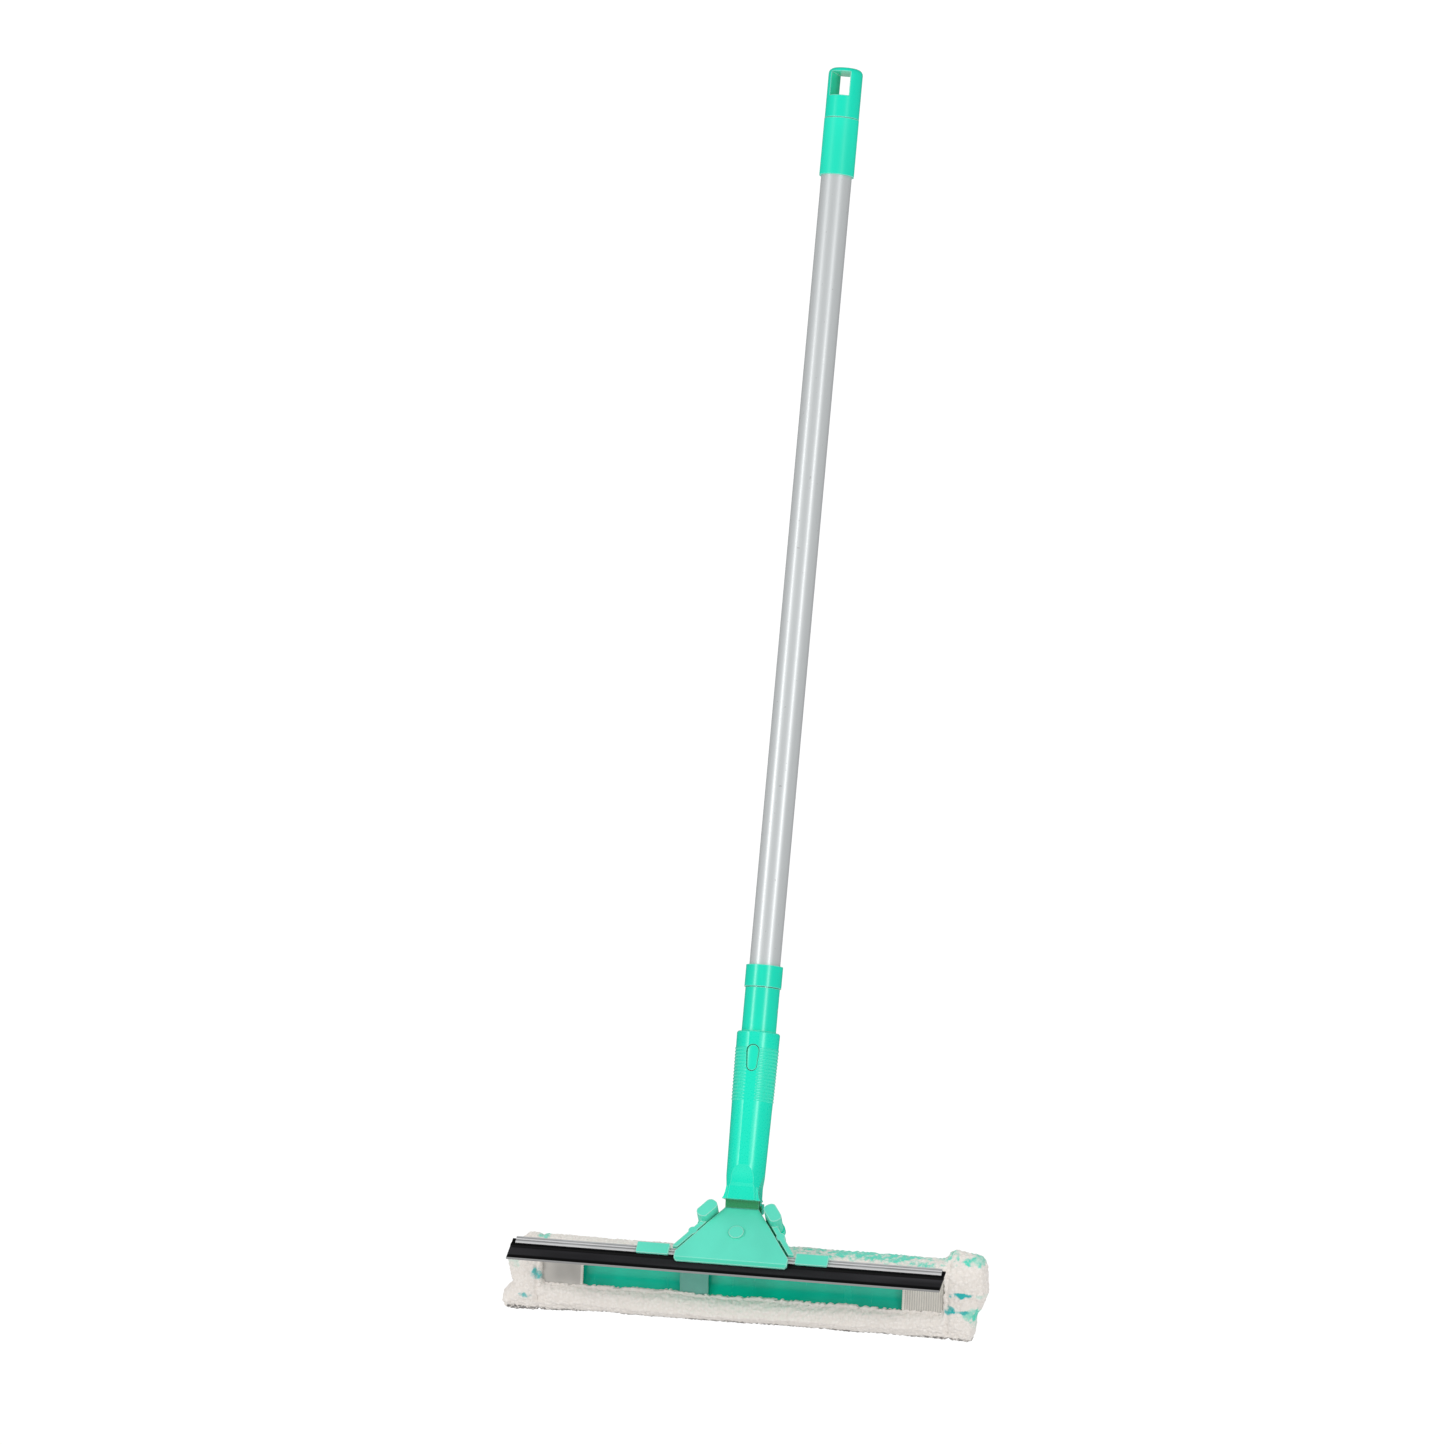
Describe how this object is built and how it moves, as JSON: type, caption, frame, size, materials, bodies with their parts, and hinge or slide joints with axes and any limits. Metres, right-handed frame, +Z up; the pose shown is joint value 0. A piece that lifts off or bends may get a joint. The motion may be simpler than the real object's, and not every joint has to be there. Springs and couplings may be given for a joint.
{
  "type": "window cleaning squeegee",
  "caption": "Window squeegee and washer head on a telescopic pole: rubber blade in front, fleece washer on a T-bar behind, twist lock and hang cap.",
  "frame": {"origin": "middle of the hang slot's upper face, on the pole's axis, where the hanging tool bears on its hook", "axes": "+Z up the pole from the head to the hang cap, +X along the blade to the right as seen from the squeegee side, -Y the squeegee side and +Y the washer side"},
  "size_m": [0.348, 0.0786, 0.8994],
  "materials": {
    "mint_plastic": "glossy injection moulded",
    "pale_mint_plastic": "satin injection moulded",
    "deep_green_plastic": "glossy injection moulded",
    "pole_paint": "satin light grey coating",
    "plated_steel": "zinc plated",
    "spring_steel": "drawn wire",
    "white_nylon": "natural nylon",
    "channel_alloy": "extruded and anodised",
    "blade_rubber": "smooth black squeegee rubber",
    "fleece": "long microfibre pile with mint streaks",
    "knit": "smooth knit",
    "ribbed_knit": "ribbed knit",
    "strap_webbing": "woven strap"
  },
  "bodies": {
    "outer_pole": {"hang_cap": "mint_plastic", "grip_sleeve": "mint_plastic", "outer_tube": "pole_paint", "tube_collar": "mint_plastic", "collar_bush": "white_nylon"},
    "lock_slider": {"lock_expander": "white_nylon"},
    "lock_cone": {"lock_cone": "white_nylon"},
    "inner_pole": {"inner_tube": "plated_steel", "lock_spindle": "white_nylon", "spindle_stop": "plated_steel", "pole_tip": "mint_plastic", "tip_rivet": "plated_steel", "catch_spring": "spring_steel", "head_body": "mint_plastic", "front_jaw": "pale_mint_plastic", "jaw_pin": "pale_mint_plastic", "jaw_retainer": "plated_steel", "lever_pins": "plated_steel", "left_lever_spring": "spring_steel", "right_lever_spring": "spring_steel", "rear_bracket": "mint_plastic", "bracket_screws": "plated_steel", "blade_channel": "channel_alloy", "rubber_blade": "blade_rubber", "clip_left": "pale_mint_plastic", "clip_right": "pale_mint_plastic"},
    "catch": {"catch_button": "mint_plastic"},
    "left_lever": {"left_lever": "pale_mint_plastic"},
    "right_lever": {"right_lever": "pale_mint_plastic"},
    "washer": {"t_bar": "deep_green_plastic", "washer_pad": "fleece", "pocket_left": "knit", "pocket_right": "ribbed_knit", "sleeve_strap": "strap_webbing"}
  },
  "joints": [
    {"name": "pole_extend", "type": "slide", "parent": "outer_pole", "child": "lock_slider", "axis": [0, 0, -1], "range_m": [0, 0.45]},
    {"name": "pole_twist", "type": "hinge", "parent": "lock_slider", "child": "inner_pole", "pos_m": [0, 0, -0.69015], "axis": [0, 0, 1], "range_deg": [0, 90]},
    {"name": "cone_climb", "type": "slide", "parent": "lock_slider", "child": "lock_cone", "axis": [0, 0, 1], "range_m": [0, 0.00105]},
    {"name": "catch_press", "type": "slide", "parent": "inner_pole", "child": "catch", "axis": [0, 1, 0], "range_m": [0, 0.0025], "stiffness_N_per_m": 1200, "springref_m": -0.002, "deforming": ["catch_spring"]},
    {"name": "left_lever_squeeze", "type": "hinge", "parent": "inner_pole", "child": "left_lever", "pos_m": [-0.03172, -0.01407, -0.83338], "axis": [0, 0.8387, -0.5446], "range_deg": [0, 3.5], "stiffness_Nm_per_rad": 0.6, "springref_deg": -4.58, "deforming": ["left_lever_spring"]},
    {"name": "right_lever_squeeze", "type": "hinge", "parent": "inner_pole", "child": "right_lever", "pos_m": [0.03172, -0.01407, -0.83338], "axis": [0, -0.8387, 0.5446], "range_deg": [0, 3.5], "stiffness_Nm_per_rad": 0.6, "springref_deg": -4.58, "deforming": ["right_lever_spring"]},
    {"name": "washer_pull_off", "type": "slide", "parent": "inner_pole", "child": "washer", "axis": [0, 0.2419, -0.9703], "range_m": [0, 0.012]}
  ],
  "couplings": [
    {"joint": "cone_climb", "follows": "pole_twist", "m_per_rad": 0.00063662}
  ]
}
